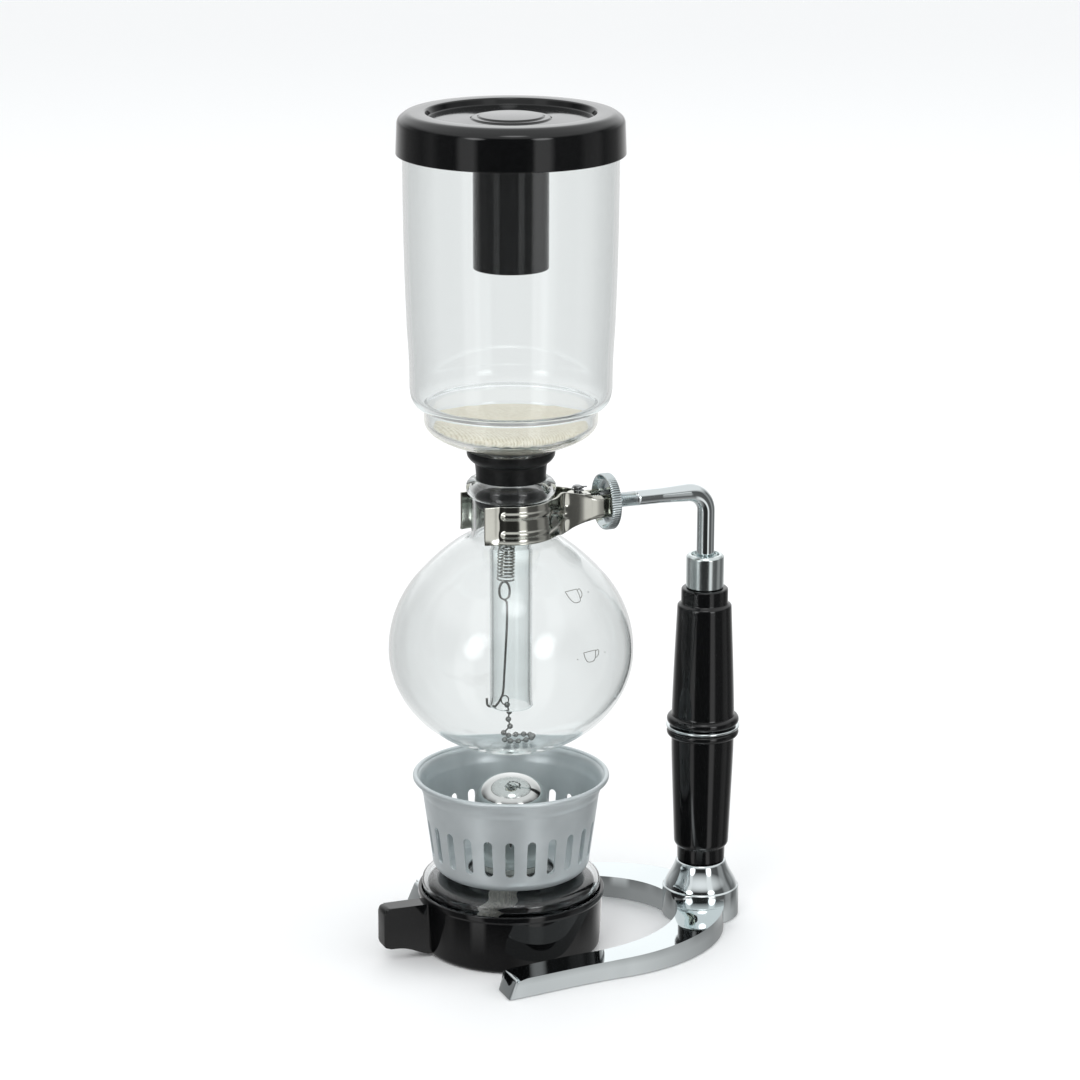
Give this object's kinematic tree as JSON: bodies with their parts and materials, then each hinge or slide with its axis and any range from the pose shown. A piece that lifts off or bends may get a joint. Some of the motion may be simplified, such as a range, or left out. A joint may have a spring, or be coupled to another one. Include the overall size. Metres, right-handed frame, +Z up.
{
  "type": "siphon coffee maker",
  "caption": "Vacuum siphon coffee maker: glass globe clamped to a chromed stand with a black handle, upper glass bowl with cloth filter and lid, and a spirit lamp with wind shield.",
  "frame": {"origin": "on the table, under the common axis of the two glass bowls and the lamp (centre of the lamp's underside)", "axes": "+Z up along the bowls' axis; +X towards the handle; the base is open towards -X, where the lamp's lug points"},
  "size_m": [0.1586, 0.118, 0.345],
  "materials": {
    "clear_glass": "clear borosilicate glass with a very faint blue-grey tint",
    "lid_plastic": "glossy black moulded plastic",
    "gasket_rubber": "matt black rubber",
    "filter_cloth": "beige brushed cotton with dark flecks",
    "cotton_cord": "twisted cotton cord",
    "wick_cotton": "braided white cotton",
    "filter_steel": "bright stainless steel",
    "stand_chrome": "polished chrome plate",
    "fastener_steel": "plain bright steel",
    "grip_plastic": "glossy black moulded plastic",
    "clamp_steel": "bright pressed stainless steel",
    "wheel_chrome": "chromed and knurled",
    "lamp_plastic": "glossy black moulded plastic",
    "lamp_metal": "bright steel",
    "shield_aluminium": "satin aluminium with a bright rolled rim",
    "cap_chrome": "polished chrome plate"
  },
  "bodies": {
    "stand": {"base": "stand_chrome", "base_screw": "fastener_steel", "support_arm": "stand_chrome", "grip_ferrule": "stand_chrome", "grip_upper": "grip_plastic", "grip_ring": "stand_chrome", "grip_lower": "grip_plastic", "clamp_pin": "fastener_steel", "clamp_spring": "fastener_steel", "globe": "clear_glass"},
    "jaw_front": {"clamp_jaw_front": "clamp_steel"},
    "jaw_back": {"clamp_jaw_back": "clamp_steel"},
    "cone": {"clamp_cone": "fastener_steel"},
    "wheel": {"clamp_wheel": "wheel_chrome"},
    "upper": {"upper_bowl": "clear_glass", "gasket": "gasket_rubber", "hook_wire": "filter_steel", "ball_chain": "filter_steel"},
    "filter": {"filter_cloth": "filter_cloth", "filter_drawstring": "cotton_cord", "filter_plate": "filter_steel", "filter_stud": "filter_steel", "filter_spring": "filter_steel"},
    "cover": {"lid": "lid_plastic"},
    "lamp": {"lamp_holder": "lamp_plastic", "lamp_font": "clear_glass", "lamp_collar": "lamp_metal", "wick_holder": "lamp_metal"},
    "wick_body": {"wick": "wick_cotton"},
    "shield": {"windshield": "shield_aluminium"},
    "cap": {"lamp_cap": "cap_chrome"}
  },
  "joints": [
    {"name": "upper_lift", "type": "slide", "parent": "stand", "child": "upper", "axis": [0, 0, 1], "range_m": [0, 0.13]},
    {"name": "lid_lift", "type": "slide", "parent": "upper", "child": "cover", "axis": [0, 0, 1], "range_m": [0, 0.075]},
    {"name": "filter_lift", "type": "slide", "parent": "upper", "child": "filter", "axis": [0, 0, 1], "range_m": [0, 0.012], "deforming": ["filter_spring"]},
    {"name": "cone_slide", "type": "slide", "parent": "stand", "child": "cone", "axis": [1, 0, 0], "range_m": [0, 0.00255]},
    {"name": "wheel_turn", "type": "hinge", "parent": "cone", "child": "wheel", "pos_m": [0.04165, 0, 0.184], "axis": [1, 0, 0], "range_deg": [0, 900]},
    {"name": "jaw_front_open", "type": "hinge", "parent": "stand", "child": "jaw_front", "pos_m": [0.0287, 0, 0.184], "axis": [0, 0, 1], "range_deg": [0, 4.08]},
    {"name": "jaw_back_open", "type": "hinge", "parent": "stand", "child": "jaw_back", "pos_m": [0.0287, 0, 0.184], "axis": [0, 0, 1], "range_deg": [-4.08, 0]},
    {"name": "lamp_slide", "type": "slide", "parent": "stand", "child": "lamp", "axis": [-1, 0, 0], "range_m": [0, 0.13]},
    {"name": "windshield_lift", "type": "slide", "parent": "lamp", "child": "shield", "axis": [0, 0, 1], "range_m": [0, 0.02]},
    {"name": "cap_lift", "type": "slide", "parent": "lamp", "child": "cap", "axis": [0, 0, 1], "range_m": [0, 0.009]},
    {"name": "wick_slide", "type": "slide", "parent": "lamp", "child": "wick_body", "axis": [0, 0, 1], "range_m": [0, 0.003]}
  ],
  "couplings": [
    {"joint": "cone_slide", "follows": "wheel_turn", "m_per_rad": 0.00015915},
    {"joint": "jaw_front_open", "follows": "wheel_turn", "ratio": 0.0044444},
    {"joint": "jaw_back_open", "follows": "wheel_turn", "ratio": -0.0044444}
  ]
}
